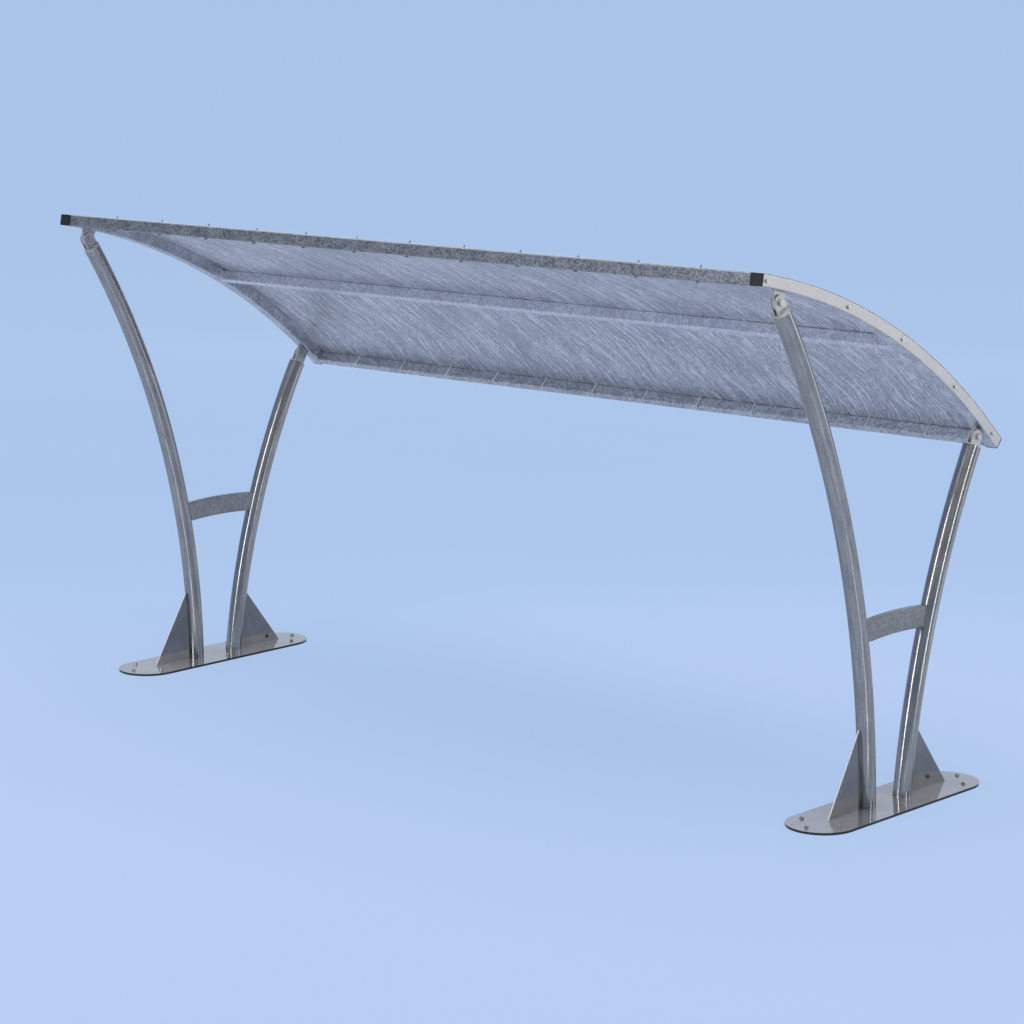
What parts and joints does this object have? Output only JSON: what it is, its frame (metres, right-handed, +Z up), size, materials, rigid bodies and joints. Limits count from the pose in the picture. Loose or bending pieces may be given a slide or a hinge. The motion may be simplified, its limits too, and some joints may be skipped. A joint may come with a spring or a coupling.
{
  "type": "bicycle shelter",
  "caption": "Open bicycle shelter: curved sheet roof on rolled rafters and rails, carried by rolled round-tube legs on long round-ended base plates.",
  "frame": {"origin": "on the floor, midway between the two end frames and midway along their base plates", "axes": "+X along the shelter, +Y from its open high front to its low back, +Z up"},
  "size_m": [4.29, 1.6475, 2.2267],
  "materials": {
    "galvanised_tube": "hot-dip galvanised, mottled satin",
    "steel_plate": "galvanised plate, glossy",
    "roof_sheet": "coated metal sheet, satin",
    "fastener": "zinc plated",
    "cap_plastic": "black, matte"
  },
  "bodies": {
    "root": {"left_base_plate": "steel_plate", "right_base_plate": "steel_plate", "left_brace": "steel_plate", "right_brace": "steel_plate", "left_front_gusset": "steel_plate", "left_rear_gusset": "steel_plate", "right_front_gusset": "steel_plate", "right_rear_gusset": "steel_plate", "left_front_leg": "galvanised_tube", "left_rear_leg": "galvanised_tube", "right_front_leg": "galvanised_tube", "right_rear_leg": "galvanised_tube", "left_front_fork": "steel_plate", "left_rear_fork": "steel_plate", "right_front_fork": "steel_plate", "right_rear_fork": "steel_plate", "left_front_lug": "steel_plate", "left_rear_lug": "steel_plate", "right_front_lug": "steel_plate", "right_rear_lug": "steel_plate", "left_pivot_bolts": "fastener", "left_pivot_nuts": "fastener", "right_pivot_bolts": "fastener", "right_pivot_nuts": "fastener", "left_rafter": "galvanised_tube", "left_rafter_bolts": "fastener", "left_rafter_nuts": "fastener", "right_rafter": "galvanised_tube", "right_rafter_bolts": "fastener", "right_rafter_nuts": "fastener", "left_rafter_front_cap": "cap_plastic", "left_rafter_rear_cap": "cap_plastic", "right_rafter_front_cap": "cap_plastic", "right_rafter_rear_cap": "cap_plastic", "front_rail": "galvanised_tube", "middle_rail": "galvanised_tube", "rear_rail": "galvanised_tube", "roof_sheet": "roof_sheet", "front_hook_bolts": "fastener", "front_hook_nuts": "fastener", "rear_hook_bolts": "fastener", "rear_hook_nuts": "fastener"}
  },
  "joints": []
}
